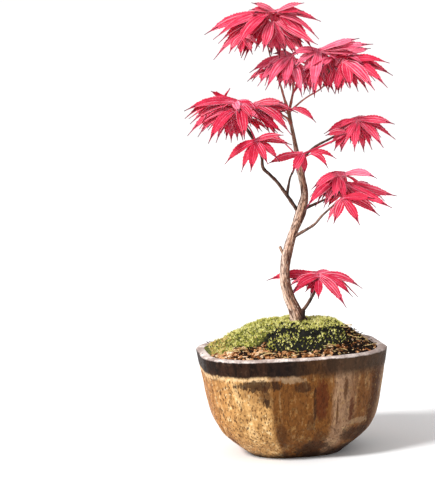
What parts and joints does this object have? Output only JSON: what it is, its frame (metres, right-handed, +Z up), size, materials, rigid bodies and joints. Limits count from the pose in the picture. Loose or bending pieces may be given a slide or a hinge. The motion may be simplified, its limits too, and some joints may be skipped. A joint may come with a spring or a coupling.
{
  "type": "miniature potted japanese maple bonsai",
  "caption": "Miniature red-leaved japanese maple grown as a bonsai: leaning, curving trunk, open pads of leaves on thin boughs, mossy soil and a small, softly square glazed bowl.",
  "frame": {"origin": "centre of the pot's flat underside, on the surface it stands on", "axes": "+Z up; +X to the right and +Y to the back of the tree's best side; the bowl's broad side faces -Y, turned 8 degrees anticlockwise"},
  "size_m": [0.1094, 0.0834, 0.2328],
  "materials": {
    "glaze": "crackled tan and gold glaze with a dark brown band under a worn pale rim",
    "soil": "loose baked-clay grains, moist, with dark bits",
    "moss": "dense short moss, yellow-green with straw tips",
    "bark": "light tan bark with fine lengthwise fibres, darker on young boughs",
    "leaves": "soft crimson leaves with paler edges and thin dark tips"
  },
  "bodies": {
    "root": {"bough_back_high": "bark", "bough_back_left": "bark", "bough_back_right": "bark", "bough_basal": "bark", "bough_centre": "bark", "bough_crown_left": "bark", "bough_crown_middle": "bark", "bough_crown_right": "bark", "bough_left": "bark", "bough_left_inner": "bark", "bough_right_high": "bark", "bough_right_low": "bark", "bough_right_mid": "bark", "mass_back_high": "leaves", "mass_back_left": "leaves", "mass_back_right": "leaves", "mass_bottom": "leaves", "mass_centre": "leaves", "mass_left": "leaves", "mass_left_inner": "leaves", "mass_left_low": "leaves", "mass_right": "leaves", "mass_right_low": "leaves", "mass_right_mid": "leaves", "mass_top": "leaves", "mass_upper_middle": "leaves", "mass_upper_right": "leaves", "moss": "moss", "pot": "glaze", "soil": "soil", "stub": "bark", "trunk": "bark"}
  },
  "joints": []
}
